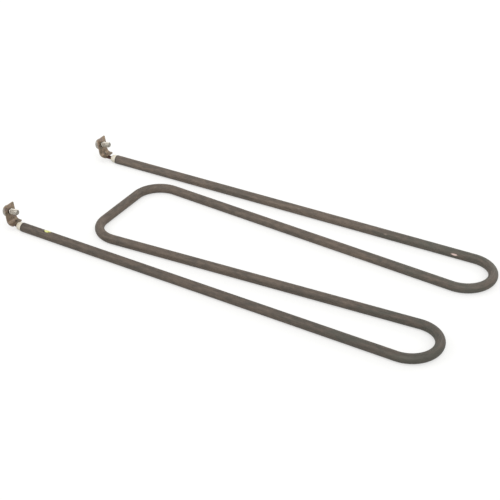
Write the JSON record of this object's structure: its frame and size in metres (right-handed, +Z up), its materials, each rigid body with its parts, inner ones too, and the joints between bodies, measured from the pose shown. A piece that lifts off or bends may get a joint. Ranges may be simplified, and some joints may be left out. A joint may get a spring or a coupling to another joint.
{
  "type": "tubular heating element",
  "caption": "Tubular heating element bent flat into hairpins joined by a cross-piece, with ceramic-beaded ends and upright screw terminal lugs.",
  "frame": {"origin": "under the middle of the whole element, on the plane that the tube lies on", "axes": "+X along the legs towards the hairpin bends, +Y across the legs towards the back terminal, +Z up, square to the bent tube's plane"},
  "size_m": [0.3989, 0.1604, 0.0222],
  "materials": {
    "sheath_steel": "heat-oxidised alloy steel, dark warm grey-brown, satin",
    "steatite": "unglazed cream steatite",
    "magnesia": "compacted powder",
    "resistance_wire": "drawn nickel-chrome wire",
    "pin_steel": "heat-tinted steel rod",
    "lug_steel": "heat-tinted stamped strip",
    "plated_screw": "bright zinc plate",
    "washer_steel": "dark oxidised spring steel"
  },
  "bodies": {
    "root": {"sheath": "sheath_steel", "resistance_coil": "resistance_wire", "magnesia_fill": "magnesia", "cold_pin_front": "pin_steel", "ceramic_bead_front": "steatite", "terminal_lug_front": "lug_steel", "lock_washer_front": "washer_steel", "terminal_screw_front": "plated_screw", "cold_pin_back": "pin_steel", "ceramic_bead_back": "steatite", "terminal_lug_back": "lug_steel", "lock_washer_back": "washer_steel", "terminal_screw_back": "plated_screw"}
  },
  "joints": []
}
